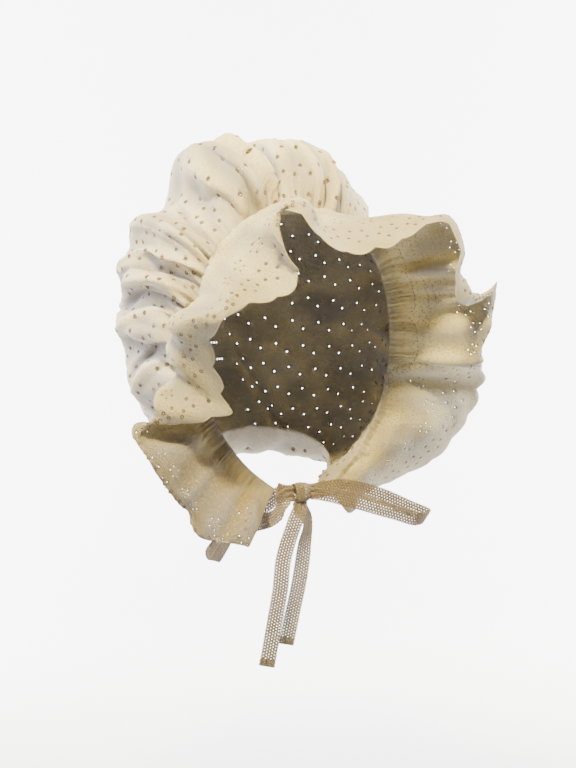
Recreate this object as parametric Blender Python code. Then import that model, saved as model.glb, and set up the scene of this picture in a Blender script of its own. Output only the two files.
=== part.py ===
"""Colonial bonnet of eyelet cotton: a puffed crown, a deep ruffle round the face, and lace ties in a bow.

The tables are in millimetres and degrees, and MM brings them to metres. +Z is up, the bonnet
faces -Y, and the wearer's left is +X. The origin is the point on top of the wearer's head where
the front of the seam rests. A turn is the angle round the face opening: 0 at the top, growing
towards the wearer's right ear, 180 at the nape.
"""
import math
from collections import namedtuple

import bmesh
import bpy
import numpy as np

MM = 0.001

# Cloth
CLOTH = 1.2
SEAM_GAP = 1.6

# Crown
CROWN_COLUMNS = 96
CROWN_ROWS = 13
CROWN_POLE = (0, 186, -70)
CROWN_FULLNESS = 0.90
MOUTH_SHARE = 0.42
GATHERS_ROUND = 42
GATHER_HEIGHT = 2.2
GATHER_RISE = 0.06
GATHER_TOP = 0.10
GATHER_REACH = 0.40
GATHERS_FADE_TURN = 110
GATHERS_END_TURN = 140
FOLD_RISE = 0.12
FOLD_FADE = 0.35

# Ruffle
RUFFLE_COLUMNS = 180
RUFFLE_ROWS = 7
RUFFLE_WIDTH = 108
RUFFLE_END_WIDTH = 64
RUFFLE_END_TURN = 150
TAPER_TURN = 20
PLEATS_ROUND = 34
PLEAT_HEIGHT = 2.4
PLEAT_TOP = 0.14
PLEAT_REACH = 0.42
SCALLOPS = 44
SCALLOP_DEPTH = 4
CURVE_STEPS = 17
CURVE_ROUNDS = 14

# Ties
RIBBON_WIDTH = 14
RIBBON = 1.1
RIBBON_STEP = 6
PINCHED_WIDTH = 10
PINCH_LENGTH = 14
KNOT_CENTRE = (-3, -13, -234)
KNOT_SIZE = (13, 12, 15)
KNOT_ROUNDING = 2.4
KNOT_SEGMENTS = 2

# The crown's mouth and its widest line, from the top of the face to the nape, and how far the
# cloth leaves the mouth outward, 1, or straight back, 0
Section = namedtuple("Section", "turn mouth_x mouth_y mouth_z belly_x belly_y belly_z puff")
SECTIONS = (
    Section(0, 0, 0, 0, 0, 60, 58, 1.0),
    Section(22, 38, 0, -7, 50, 64, 44, 1.0),
    Section(46, 72, 1, -36, 103, 80, 2, 1.0),
    Section(74, 89, 3, -86, 121, 84, -50, 1.0),
    Section(98, 88, 3, -134, 122, 84, -104, 1.0),
    Section(122, 70, 0, -182, 108, 80, -162, 0.5),
    Section(141, 42, -4, -217, 88, 74, -204, 0.1),
    Section(148, 28, -6, -228, 77, 74, -217, 0.0),
    Section(150, 24, -7, -231, 74, 75, -220, 0.0),
    Section(157, 42, 22, -224, 68, 84, -223, 0.1),
    Section(164, 56, 56, -208, 60, 96, -221, 0.5),
    Section(172, 42, 84, -193, 40, 108, -216, 0.8),
    Section(180, 0, 96, -186, 0, 116, -212, 0.9),
)
ROUNDNESS = 0.55

# Large folds of the crown: where each one leaves the mouth, where it ends, and how far it stands out
CrownFold = namedtuple("CrownFold", "turn end_turn height width start end")
CROWN_FOLDS = (
    CrownFold(20, 35, 27, 7, 0.06, 0.70),
    CrownFold(6, 16, -10, 8, 0.06, 0.70),
    CrownFold(-12, -4, 12, 16, 0.08, 0.80),
    CrownFold(40, 42, -12, 8, 0.10, 0.90),
    CrownFold(52, 50, 8, 8, 0.08, 0.70),
    CrownFold(63, 60, -9, 7, 0.08, 0.65),
    CrownFold(73, 73, 7, 6, 0.08, 0.65),
    CrownFold(83, 86, -9, 5, 0.08, 0.65),
    CrownFold(91, 98, 6, 6, 0.08, 0.65),
    CrownFold(101, 110, -9, 5, 0.08, 0.65),
    CrownFold(112, 122, 6, 7, 0.08, 0.65),
    CrownFold(124, 135, -8, 6, 0.10, 0.65),
    CrownFold(-42, -42, -6, 9, 0.10, 0.75),
    CrownFold(-66, -60, -8, 7, 0.10, 0.70),
    CrownFold(-80, -78, 8, 8, 0.10, 0.70),
    CrownFold(-98, -100, -8, 7, 0.10, 0.70),
    CrownFold(-116, -120, 8, 8, 0.10, 0.70),
    CrownFold(160, 165, -6, 8, 0.15, 0.70),
    CrownFold(-150, -158, -6, 8, 0.15, 0.70),
)

# Folds of the ruffle: where its edge lies from the seam, outward, forward and along it, and how
# far forward of straight outward the cloth leaves the seam
RuffleFold = namedtuple("RuffleFold", "turn outward forward along leave")
RUFFLE_FOLDS = (
    RuffleFold(-150, 14, -16, 12, 0),
    RuffleFold(-145, 36, -36, 14, 18),
    RuffleFold(-138, 62, -50, 20, 46),
    RuffleFold(-130, 79, -46, 16, 54),
    RuffleFold(-122, 91, -34, 11, 50),
    RuffleFold(-114, 95, -20, 8, 40),
    RuffleFold(-106, 103, -13, 9, 40),
    RuffleFold(-98, 104, -7, 10, 45),
    RuffleFold(-90, 66, 34, 6, 50),
    RuffleFold(-82, 77, 38, 8, 50),
    RuffleFold(-75, 88, 42, 20, 50),
    RuffleFold(-70, 67, 53, -3, 50),
    RuffleFold(-64, 28, 77, -18, 50),
    RuffleFold(-58, 19, 87, -8, 50),
    RuffleFold(-52, 33, 86, 0, 45),
    RuffleFold(-44, 32, 86, 8, 45),
    RuffleFold(-36, 2, 92, 2, 45),
    RuffleFold(-26, -24, 96, 0, 55),
    RuffleFold(-16, -38, 98, 18, 65),
    RuffleFold(-6, -24, 98, 35, 75),
    RuffleFold(4, -3, 94, 35, 80),
    RuffleFold(12, 8, 88, 33, 80),
    RuffleFold(22, 5, 90, 27, 75),
    RuffleFold(30, -15, 95, 14, 75),
    RuffleFold(38, -34, 96, 4, 75),
    RuffleFold(46, -32, 98, 18, 75),
    RuffleFold(56, -4, 98, 22, 75),
    RuffleFold(66, 17, 95, 20, 75),
    RuffleFold(75, 13, 72, 20, 40),
    RuffleFold(84, -3, 58, 42, 28),
    RuffleFold(94, 3, 55, 38, 28),
    RuffleFold(101, 42, 45, 20, 28),
    RuffleFold(108, 62, 34, -8, 28),
    RuffleFold(114, 76, 30, -26, 30),
    RuffleFold(120, 77, 45, -22, 40),
    RuffleFold(126, 74, 44, -17, 35),
    RuffleFold(131, 66, 28, -2, 35),
    RuffleFold(136, 72, 34, -10, 30),
    RuffleFold(140, 70, 34, -8, 30),
    RuffleFold(145, 62, 32, -6, 30),
    RuffleFold(150, 52, 24, -2, 25),
)

# The ribbons' routes, and the way that the ribbon's width lies at each point
Lay = namedtuple("Lay", "x y z across_x across_y across_z")
TIE_RIGHT = (
    Lay(-23.5, -9, -232, 0.2, 0.1, 1.0),
    Lay(-16, -11.8, -233.7, 0.0, 0.1, 1.0),
    Lay(-10.1, -12.8, -234, 0.0, 0.0, 1.0),
)
TIE_LEFT = (
    Lay(23.8, -9, -232, -0.2, 0.1, 1.0),
    Lay(14, -9.6, -233.8, -0.1, 0.1, 1.0),
    Lay(4.1, -10.2, -234, 0.0, 0.0, 1.0),
)
LOOP_LEFT = (
    Lay(4.3, -13.0, -234, 0.0, 0.0, 1.0),
    Lay(10, -13.6, -233.8, 0.0, 0.0, 1.0),
    Lay(30, -22, -230, 0.1, -0.2, 1.0),
    Lay(60, -31, -237, 0.2, -0.3, 1.0),
    Lay(86, -40, -249, 0.3, -0.4, 1.0),
    Lay(99, -49, -256, 0.4, -0.5, 0.9),
    Lay(90, -54, -257, 0.4, -0.5, 0.9),
    Lay(66, -48, -250, 0.2, -0.3, 1.0),
    Lay(34, -34, -240, 0.1, -0.2, 1.0),
    Lay(11, -18, -234.5, 0.0, 0.0, 1.0),
    Lay(4.4, -15.8, -234, 0.0, 0.0, 1.0),
)
LOOP_RIGHT = (
    Lay(-10.1, -10.4, -234, 0.0, 0.0, 1.0),
    Lay(-16, -8.6, -234.2, 0.0, 0.0, 1.0),
    Lay(-28, 3, -245, 0.1, 0.2, 1.0),
    Lay(-41, 13, -256, 0.5, 0.3, 0.8),
    Lay(-52, 19, -270, 0.8, 0.4, 0.3),
    Lay(-60, 22, -284, 0.9, 0.4, -0.2),
    Lay(-66, 26, -294, 0.9, 0.4, -0.3),
    Lay(-66, 33, -290, 0.9, 0.4, -0.3),
    Lay(-58, 35, -278, 0.8, 0.4, 0.1),
    Lay(-47, 29, -268, 0.5, 0.3, 0.7),
    Lay(-33, 11, -262, 0.1, 0.2, 1.0),
    Lay(-23, -12, -251, 0.2, 0.1, 1.0),
    Lay(-16.4, -15.8, -235.4, 0.0, 0.0, 1.0),
    Lay(-10.2, -15.4, -235, 0.0, 0.0, 1.0),
)
TAIL_FRONT = (
    Lay(-5, -15.4, -242, 1.0, 0.0, 0.0),
    Lay(-5, -15.8, -247, 1.0, 0.0, 0.0),
    Lay(-10, -18, -257, 1.0, -0.1, 0.0),
    Lay(-22, -20, -289, 1.0, -0.2, 0.0),
    Lay(-26, -22, -314, 1.0, -0.2, 0.0),
    Lay(-32, -25, -338, 1.0, -0.2, 0.0),
    Lay(-41, -28, -376, 1.0, -0.2, 0.0),
)
TAIL_BACK = (
    Lay(-2, -11, -242, 1.0, 0.0, 0.0),
    Lay(-2, -10.8, -247, 1.0, 0.0, 0.0),
    Lay(5, -9, -257, 0.8, 0.4, 0.1),
    Lay(3, -8, -282, 1.0, 0.1, 0.0),
    Lay(-2, -8, -312, 1.0, -0.1, 0.0),
    Lay(-8, -8, -338, 1.0, -0.1, 0.0),
    Lay(-14, -8, -364, 1.0, -0.1, -0.1),
)

Finish = namedtuple("Finish", "colour roughness")
COTTON_CROWN = Finish((0.86, 0.82, 0.70, 1), 0.9)
COTTON_RUFFLE = Finish((0.88, 0.83, 0.66, 1), 0.9)
LACE = Finish((0.80, 0.74, 0.62, 1), 0.85)


def clear_scene():
    for thing in list(bpy.data.objects):
        bpy.data.objects.remove(thing, do_unlink=True)


def smooth(table, at):
    """The table's other columns at the places asked for, on a smooth curve through its rows."""
    rows = np.array(table, float)
    stations, values = rows[:, 0], rows[:, 1:]
    slopes = np.gradient(values, stations, axis=0)
    before = np.clip(np.searchsorted(stations, at, side="right") - 1, 0, len(stations) - 2)
    span = (stations[before + 1] - stations[before])[:, None]
    share = (at - stations[before])[:, None] / span
    rest = 1 - share
    return (
        (1 + 2 * share) * rest**2 * values[before]
        + share * rest**2 * span * slopes[before]
        + share**2 * (3 - 2 * share) * values[before + 1]
        - share**2 * rest * span * slopes[before + 1]
    )


def unit(vectors):
    return vectors / np.linalg.norm(vectors, axis=-1, keepdims=True)


def ease(low, high, x):
    share = np.clip((x - low) / (high - low), 0, 1)
    return share * share * (3 - 2 * share)


def both_sides(sections):
    """The sections of the wearer's left, then those of the right, as one table."""
    left = [section._replace(turn=-section.turn) for section in reversed(sections[1:])]
    right = [
        section._replace(mouth_x=-section.mouth_x, belly_x=-section.belly_x)
        for section in sections
    ]
    return left + right


def grid_normals(grid, closed):
    """Unit normals of a grid of points, columns first, its columns joined up where it is closed."""
    if closed:
        round_grid = np.concatenate([grid[-1:], grid, grid[:1]])
        across = np.gradient(round_grid, axis=0)[1:-1]
    else:
        across = np.gradient(grid, axis=0)
    down = np.gradient(grid, axis=1)
    return unit(np.cross(across, down))


def material(name, finish):
    made = bpy.data.materials.new(name)
    made.use_nodes = True
    shader = made.node_tree.nodes["Principled BSDF"]
    shader.inputs["Base Color"].default_value = finish.colour
    shader.inputs["Roughness"].default_value = finish.roughness
    shader.inputs["Metallic"].default_value = 0.0
    return made


def cloth(name, grid, finish, thickness, closed=False, pole=None):
    """A wall of cloth over a grid of points, columns first, which may close round and end in a pole."""
    mesh = bpy.data.meshes.new(name)
    shape = bmesh.new()
    columns = [[shape.verts.new(point * MM) for point in column] for column in grid]
    pairs = list(zip(columns, columns[1:]))
    if closed:
        pairs.append((columns[-1], columns[0]))
    tip = shape.verts.new(np.array(pole) * MM) if pole is not None else None
    for first, second in pairs:
        for row in range(len(first) - 1):
            shape.faces.new((first[row], first[row + 1], second[row + 1], second[row]))
        if tip:
            shape.faces.new((first[-1], tip, second[-1]))
    shape.to_mesh(mesh)
    shape.free()
    mesh.shade_smooth()
    mesh.materials.append(material(name, finish))
    thing = bpy.data.objects.new(name, mesh)
    bpy.context.scene.collection.objects.link(thing)
    wall = thing.modifiers.new("Wall", "SOLIDIFY")
    wall.thickness = thickness * MM
    wall.offset = 0
    return thing


def crown_grid():
    """The crown's points: from the mouth out to the belly, then in to the pole at the back."""
    turns = np.linspace(-180, 180, CROWN_COLUMNS, endpoint=False)
    places = smooth(both_sides(SECTIONS), turns)
    mouth, belly, puff = places[:, None, :3], places[:, None, 3:6], places[:, None, 6:]
    pole = np.array(CROWN_POLE, float)
    share = np.linspace(0, 1, CROWN_ROWS + 1)[:-1]
    near = np.clip(share / MOUTH_SHARE, 0, 1)[None, :, None]
    far = np.clip((share - MOUTH_SHARE) / (1 - MOUTH_SHARE), 0, 1)[None, :, None] * math.pi / 2
    depth = (belly - mouth) * (0, 1, 0)
    aside = belly - mouth - depth
    leave = mouth + (aside * puff + depth * (1 - puff)) * ROUNDNESS
    reach = belly - depth * ROUNDNESS
    rest = 1 - near
    front = mouth * rest**3 + leave * 3 * near * rest**2 + reach * 3 * near**2 * rest + belly * near**3
    middle = pole * (1, 0, 1) + belly * (0, 1, 0)
    back = middle + (belly - middle) * np.cos(far) ** CROWN_FULLNESS + (pole - middle) * np.sin(far)
    grid = np.where((share <= MOUTH_SHARE)[None, :, None], front, back)
    normals = -grid_normals(grid, closed=True)
    return grid + normals * crown_relief(turns[:, None], share[None, :])[:, :, None]


def crown_relief(turns, share):
    """How far the folds and the gathers stand out of the plain crown."""
    relief = np.zeros(np.broadcast(turns, share).shape)
    for fold in CROWN_FOLDS:
        middle = fold.turn + (fold.end_turn - fold.turn) * share
        aside = (turns - middle + 180) % 360 - 180
        length = ease(0, fold.start + FOLD_RISE, share) * (1 - ease(fold.end - FOLD_FADE, fold.end, share))
        relief += fold.height * np.exp(-((aside / fold.width) ** 2)) * length
    fade = 1 - ease(GATHERS_FADE_TURN, GATHERS_END_TURN, np.abs(turns))
    gathers = np.sin(np.radians(turns) * GATHERS_ROUND) * GATHER_HEIGHT * fade
    return relief + gathers * ease(0, GATHER_RISE, share) * (1 - ease(GATHER_TOP, GATHER_REACH, share))


def seam_frame(turns):
    """The seam's points, and the ways that lie along it and outward from the face at each."""
    sections = both_sides(SECTIONS)
    seam = smooth(sections, turns)[:, :3]
    limit = RUFFLE_END_TURN
    ahead = smooth(sections, np.minimum(turns + 1, limit))[:, :3]
    behind = smooth(sections, np.maximum(turns - 1, -limit))[:, :3]
    along = unit((ahead - behind) * (1, 0, 1))
    outward = np.stack([along[:, 2], np.zeros(len(turns)), -along[:, 0]], axis=-1)
    return seam, along, outward


def bow_of_cloth(start, leave, end, width):
    """How far the cloth runs on as it leaves the seam, so that its curve is as long as the cloth is wide."""
    low, high = np.zeros(len(start)), np.full(len(start), width.max())
    steps = np.linspace(0, 1, CURVE_STEPS)[None, :, None]
    for _ in range(CURVE_ROUNDS):
        middle = (low + high) / 2
        bend = start + leave * middle[:, None]
        curve = curve_between(start, bend, end, steps)
        length = np.linalg.norm(np.diff(curve, axis=1), axis=-1).sum(axis=1)
        low = np.where(length < width, middle, low)
        high = np.where(length < width, high, middle)
    return (low + high) / 2


def curve_between(start, bend, end, share):
    start, bend, end = start[:, None], bend[:, None], end[:, None]
    return start * (1 - share) ** 2 + bend * 2 * share * (1 - share) + end * share**2


def ruffle_grid():
    """The ruffle's points: a strip gathered to the seam, whose edge swings through the table of folds."""
    turns = np.linspace(-RUFFLE_END_TURN, RUFFLE_END_TURN, RUFFLE_COLUMNS + 1)
    seam, along, outward = seam_frame(turns)
    forward = np.array([[0, -1, 0]])
    start = seam + forward * SEAM_GAP
    offsets = smooth(RUFFLE_FOLDS, turns)
    end = start + outward * offsets[:, :1] + forward * offsets[:, 1:2] + along * offsets[:, 2:3]
    angle = np.radians(offsets[:, 3:])
    leave = outward * np.cos(angle) + forward * np.sin(angle)
    from_end = RUFFLE_END_TURN - np.abs(turns)
    width = RUFFLE_END_WIDTH + (RUFFLE_WIDTH - RUFFLE_END_WIDTH) * ease(0, TAPER_TURN, from_end)
    bow = bow_of_cloth(start, leave, end, width)
    edge_way = unit(end - start)
    walked = np.concatenate([[0], np.linalg.norm(np.diff(end, axis=0), axis=-1).cumsum()])
    scallop = np.abs(np.sin(math.pi * SCALLOPS * walked / walked[-1]))
    end = end + edge_way * (scallop[:, None] - 1) * SCALLOP_DEPTH
    share = np.linspace(0, 1, RUFFLE_ROWS + 1)
    grid = curve_between(start, start + leave * bow[:, None], end, share[None, :, None])
    pleats = np.sin(np.radians(turns) * PLEATS_ROUND)[:, None] * PLEAT_HEIGHT
    pleats = pleats * (ease(0, PLEAT_TOP, share) * (1 - ease(PLEAT_TOP, PLEAT_REACH, share)))[None, :]
    return grid + grid_normals(grid, closed=False) * pleats[:, :, None]


def ribbon(name, route, knot_at):
    """A flat ribbon along its route, drawn narrower where it comes out of the knot."""
    points = np.array([lay[:3] for lay in route], float)
    across = unit(np.array([lay[3:] for lay in route], float))
    walked = np.concatenate([[0], np.linalg.norm(np.diff(points, axis=0), axis=-1).cumsum()])
    length = walked[-1]
    at = np.linspace(0, length, max(round(length / RIBBON_STEP), 3) + 1)
    places = smooth(np.column_stack([walked, points, across]), at)
    middle, way = places[:, :3], unit(np.gradient(places[:, :3], axis=0))
    side = places[:, 3:]
    side = unit(side - way * (side * way).sum(axis=-1, keepdims=True))
    from_knot = np.full(len(at), length)
    if "start" in knot_at:
        from_knot = np.minimum(from_knot, at)
    if "end" in knot_at:
        from_knot = np.minimum(from_knot, length - at)
    width = PINCHED_WIDTH + (RIBBON_WIDTH - PINCHED_WIDTH) * ease(0, PINCH_LENGTH, from_knot)
    half = side * width[:, None] / 2
    return cloth(name, np.stack([middle - half, middle + half], axis=1), LACE, RIBBON)


def knot():
    """The knot of the bow: one turn of ribbon drawn tight, with rounded sides."""
    mesh = bpy.data.meshes.new("bow_knot")
    shape = bmesh.new()
    bmesh.ops.create_cube(shape, size=1)
    bmesh.ops.scale(shape, vec=np.array(KNOT_SIZE) * MM, verts=shape.verts)
    bmesh.ops.bevel(
        shape,
        geom=shape.edges[:],
        offset=KNOT_ROUNDING * MM,
        segments=KNOT_SEGMENTS,
        profile=0.5,
        affect="EDGES",
    )
    shape.to_mesh(mesh)
    shape.free()
    mesh.shade_smooth()
    mesh.materials.append(material("bow_knot", LACE))
    thing = bpy.data.objects.new("bow_knot", mesh)
    thing.location = np.array(KNOT_CENTRE) * MM
    bpy.context.scene.collection.objects.link(thing)


def build():
    clear_scene()
    cloth("crown", crown_grid(), COTTON_CROWN, CLOTH, closed=True, pole=CROWN_POLE)
    cloth("ruffle", ruffle_grid(), COTTON_RUFFLE, CLOTH)
    ribbon("tie_right", TIE_RIGHT, knot_at=("end",))
    ribbon("tie_left", TIE_LEFT, knot_at=("end",))
    ribbon("bow_loop_left", LOOP_LEFT, knot_at=("start", "end"))
    ribbon("bow_loop_right", LOOP_RIGHT, knot_at=("start", "end"))
    ribbon("tail_front", TAIL_FRONT, knot_at=("start",))
    ribbon("tail_back", TAIL_BACK, knot_at=("start",))
    knot()


build()
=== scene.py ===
"""Colonial bonnet of eyelet cotton: gathered cloth, cut eyelets, embroidery and lace ties.

Sizes are in millimetres and degrees, and MM brings them to metres. A turn is the angle round the
face opening: 0 at the top, growing towards the wearer's right ear, 180 at the nape. Each cloth is
laid out flat, with its eyelets cut, and a lay function then brings its flat points to their place.
"""
import math
from collections import namedtuple

import bpy
import numpy as np
from mathutils import Matrix, Vector
from mathutils.geometry import delaunay_2d_cdt


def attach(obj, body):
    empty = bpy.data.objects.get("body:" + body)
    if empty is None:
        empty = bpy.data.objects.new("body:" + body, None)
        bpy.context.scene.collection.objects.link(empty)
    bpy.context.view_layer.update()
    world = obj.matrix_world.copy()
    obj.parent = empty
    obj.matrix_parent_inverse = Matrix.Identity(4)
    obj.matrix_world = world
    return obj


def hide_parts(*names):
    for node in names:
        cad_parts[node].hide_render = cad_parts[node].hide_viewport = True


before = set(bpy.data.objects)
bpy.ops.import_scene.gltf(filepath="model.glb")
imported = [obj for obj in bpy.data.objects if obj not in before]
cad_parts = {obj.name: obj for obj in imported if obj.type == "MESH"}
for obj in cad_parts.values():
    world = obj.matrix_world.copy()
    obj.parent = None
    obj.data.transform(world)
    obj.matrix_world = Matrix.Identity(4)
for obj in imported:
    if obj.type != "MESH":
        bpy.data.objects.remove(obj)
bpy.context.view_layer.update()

MM = 0.001
UV_MM = 100

# Crown
CROWN_POLE = (0, 186, -70)
CROWN_FULLNESS = 0.90
MOUTH_SHARE = 0.42
ROUNDNESS = 0.55
CROWN_CLOTH = 0.6
CROWN_PITCH = 2.9
EYELET_SPACING = 26
EYELET_ROWS = 23
EYELET_TWIN = (11, 7)
EYELET_RADIUS = 1.5
EYELET_SIDES = 12

# Ruffle
RUFFLE_WIDTH = 108
RUFFLE_END_WIDTH = 64
RUFFLE_END_TURN = 150
TAPER_TURN = 20
RUFFLE_CLOTH = 0.6
RUFFLE_PITCH = 2.1
SCALLOPS = 44
SCALLOP_DEPTH = 4
FLOWER_FROM_EDGE = 23
FLOWER_RADIUS = 8.4
FLOWER_HOLE = 1.25
SPRIG_FROM_EDGE = 50
SPRIG_RADIUS = 6.2
SPRIG_HOLE = 0.9

# Lace
RIBBON_WIDTH = 14
RIBBON_CLOTH = 0.7
RIBBON_PITCH = 1.25
PINCHED_WIDTH = 12.5
PINCH_LENGTH = 14
HEM_LENGTH = 6
HEM_BEND = 0.9
KNOT_CENTRE = (-3, -13, -234)
KNOT_HALF_DEPTH = 6.6
KNOT_HALF_HEIGHT = 8.0
KNOT_WIDTH = 14

# The crown's mouth and its widest line, from the top of the face to the nape, and how far the
# cloth leaves the mouth outward, 1, or straight back, 0:
# turn, mouth x, y and z, belly x, y and z, puff
SECTIONS = (
    (0, 0, 0, 0, 0, 60, 58, 1.0),
    (22, 38, 0, -7, 50, 64, 44, 1.0),
    (46, 72, 1, -36, 103, 80, 2, 1.0),
    (74, 89, 3, -86, 121, 84, -50, 1.0),
    (98, 88, 3, -134, 122, 84, -104, 1.0),
    (122, 70, 0, -182, 108, 80, -162, 0.5),
    (141, 42, -4, -217, 88, 74, -204, 0.1),
    (148, 28, -6, -228, 77, 74, -217, 0.0),
    (150, 24, -7, -231, 74, 75, -220, 0.0),
    (157, 42, 22, -224, 68, 84, -223, 0.1),
    (164, 56, 56, -208, 60, 96, -221, 0.5),
    (172, 42, 84, -193, 40, 108, -216, 0.8),
    (180, 0, 96, -186, 0, 116, -212, 0.9),
)

# Large folds of the crown: where each one leaves the mouth, where it ends, how far it stands out,
# how wide it is, and between which shares of the way to the pole it lies
CrownFold = namedtuple("CrownFold", "turn end_turn height width start end")
CROWN_FOLDS = [CrownFold(*row) for row in (
    (20, 35, 27, 7, 0.06, 0.70),
    (6, 16, -10, 8, 0.06, 0.70),
    (-12, -4, 12, 16, 0.08, 0.80),
    (40, 42, -12, 8, 0.10, 0.90),
    (52, 50, 8, 8, 0.08, 0.70),
    (63, 60, -9, 7, 0.08, 0.65),
    (73, 73, 7, 6, 0.08, 0.65),
    (83, 86, -9, 5, 0.08, 0.65),
    (91, 98, 6, 6, 0.08, 0.65),
    (101, 110, -9, 5, 0.08, 0.65),
    (112, 122, 6, 7, 0.08, 0.65),
    (124, 135, -8, 6, 0.10, 0.65),
    (-42, -42, -6, 9, 0.10, 0.75),
    (-66, -60, -8, 7, 0.10, 0.70),
    (-80, -78, 8, 8, 0.10, 0.70),
    (-98, -100, -8, 7, 0.10, 0.70),
    (-116, -120, 8, 8, 0.10, 0.70),
    (160, 165, -6, 8, 0.15, 0.70),
    (-150, -158, -6, 8, 0.15, 0.70),
)]
FOLD_RISE = 0.12
FOLD_FALL = 0.35

# Tucks of the crown on its flat round: from one place to another, bowed to the right by so much at
# the middle, how high each stands, and how far it spreads to its left and right
Tuck = namedtuple("Tuck", "x y end_x end_y bow height left right")
CROWN_TUCKS = [Tuck(*row) for row in (
    (64, 178, 48, 274, 20, 12.0, 10, 4),
    (84, 186, 94, 268, 17, -4.5, 6, 9),
    (104, 176, 124, 246, 6, 4.0, 7, 6),
    (14, 190, 40, 274, 0, -10.0, 8, 3),
    (170, 156, 232, 194, 0, -7.0, 2.5, 8),
    (168, 150, 232, 178, 0, 4.0, 6, 6),
    (120, 150, 176, 196, -6, 3.0, 9, 7),
    (150, 50, 246, 168, 0, 6.0, 7, 4),
    (160, 38, 258, 136, 0, -5.5, 4, 5),
    (154, 26, 266, 106, 7, 6.0, 6, 4),
    (140, 0, 270, 68, 0, -6.0, 4, 6),
    (160, -30, 272, 46, 0, 5.0, 7, 6),
    (176, -66, 274, -8, 0, -5.0, 4, 6),
    (166, -92, 268, -36, 0, 5.5, 7, 6),
    (0, 214, -52, 276, 0, 4.0, 9, 5),
    (-22, 206, -70, 266, 0, -5.5, 4, 6),
    (-56, 220, -86, 266, 0, 5.0, 6, 4),
    (-84, 210, -106, 258, 0, -4.5, 5, 5),
)]

# Gathers that run back from the crown's mouth: how many go round, how high they stand, and between
# which shares of the way to the pole they rise and die away
Gather = namedtuple("Gather", "number height rise full fade end")
CROWN_GATHERS = [Gather(*row) for row in (
    (112, 0.8, 0.00, 0.02, 0.04, 0.11),
    (58, 1.2, 0.02, 0.06, 0.10, 0.24),
    (31, 1.8, 0.05, 0.14, 0.22, 0.50),
    (17, 1.6, 0.15, 0.30, 0.45, 0.85),
)]
# Gathers that run out from the ruffle's seam, counted along the whole strip, in shares of its width
RUFFLE_GATHERS = [Gather(*row) for row in (
    (150, 1.5, 0.00, 0.015, 0.04, 0.11),
    (70, 1.1, 0.01, 0.04, 0.06, 0.17),
    (25, 4.0, 0.04, 0.20, 0.38, 1.00),
)]

# Folds of the ruffle: where its edge lies from the seam, outward, forward and along it, and how
# far forward of straight outward the cloth leaves the seam:
# turn, outward, forward, along, leave
RUFFLE_FOLDS = (
    (-150, 14, -16, 12, 0),
    (-145, 36, -36, 14, 18),
    (-138, 62, -50, 20, 46),
    (-130, 79, -46, 16, 54),
    (-122, 91, -34, 11, 50),
    (-114, 95, -20, 8, 40),
    (-106, 103, -13, 9, 40),
    (-98, 104, -7, 10, 45),
    (-90, 66, 34, 6, 50),
    (-82, 77, 38, 8, 50),
    (-75, 88, 42, 20, 50),
    (-70, 67, 53, -3, 50),
    (-64, 28, 77, -18, 50),
    (-58, 19, 87, -8, 50),
    (-52, 33, 86, 0, 45),
    (-44, 32, 86, 8, 45),
    (-36, 2, 92, 2, 45),
    (-26, -24, 96, 0, 55),
    (-16, -38, 98, 18, 65),
    (-6, -24, 98, 35, 75),
    (4, -3, 94, 35, 80),
    (12, 8, 88, 33, 80),
    (22, 5, 90, 27, 75),
    (30, -15, 95, 14, 75),
    (38, -34, 96, 4, 75),
    (46, -32, 98, 18, 75),
    (56, -4, 98, 22, 75),
    (66, 17, 95, 20, 75),
    (75, 13, 72, 20, 40),
    (84, -3, 58, 42, 28),
    (94, 3, 55, 38, 28),
    (101, 42, 45, 20, 28),
    (108, 62, 34, -8, 28),
    (114, 76, 30, -26, 30),
    (120, 77, 45, -22, 40),
    (126, 74, 44, -17, 35),
    (131, 66, 28, -2, 35),
    (136, 72, 34, -10, 30),
    (140, 70, 34, -8, 30),
    (145, 62, 32, -6, 30),
    (150, 52, 24, -2, 25),
)

# The ribbons' routes, and the way that the ribbon's width lies at each point:
# x, y and z, then the width's x, y and z
TIE_RIGHT = (
    (-23.5, -9, -232, 0.2, 0.1, 1.0),
    (-16, -11.8, -233.7, 0.0, 0.1, 1.0),
    (-10.1, -12.8, -234, 0.0, 0.0, 1.0),
)
TIE_LEFT = (
    (23.8, -9, -232, -0.2, 0.1, 1.0),
    (14, -9.6, -233.8, -0.1, 0.1, 1.0),
    (4.1, -10.2, -234, 0.0, 0.0, 1.0),
)
LOOP_LEFT = (
    (4.3, -13.0, -234, 0.0, 0.0, 1.0),
    (10, -13.6, -233.8, 0.0, 0.0, 1.0),
    (30, -22, -230, 0.1, -0.2, 1.0),
    (60, -31, -237, 0.2, -0.3, 1.0),
    (86, -40, -249, 0.3, -0.4, 1.0),
    (99, -49, -256, 0.4, -0.5, 0.9),
    (90, -54, -257, 0.4, -0.5, 0.9),
    (66, -48, -250, 0.2, -0.3, 1.0),
    (34, -34, -240, 0.1, -0.2, 1.0),
    (11, -18, -234.5, 0.0, 0.0, 1.0),
    (4.4, -15.8, -234, 0.0, 0.0, 1.0),
)
LOOP_RIGHT = (
    (-10.1, -10.4, -234, 0.0, 0.0, 1.0),
    (-16, -8.6, -234.2, 0.0, 0.0, 1.0),
    (-28, 3, -245, 0.1, 0.2, 1.0),
    (-41, 13, -256, 0.5, 0.3, 0.8),
    (-52, 19, -270, 0.8, 0.4, 0.3),
    (-60, 22, -284, 0.9, 0.4, -0.2),
    (-66, 26, -294, 0.9, 0.4, -0.3),
    (-66, 33, -290, 0.9, 0.4, -0.3),
    (-58, 35, -278, 0.8, 0.4, 0.1),
    (-47, 29, -268, 0.5, 0.3, 0.7),
    (-33, 11, -262, 0.1, 0.2, 1.0),
    (-23, -12, -251, 0.2, 0.1, 1.0),
    (-16.4, -15.8, -235.4, 0.0, 0.0, 1.0),
    (-10.2, -15.4, -235, 0.0, 0.0, 1.0),
)
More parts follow.
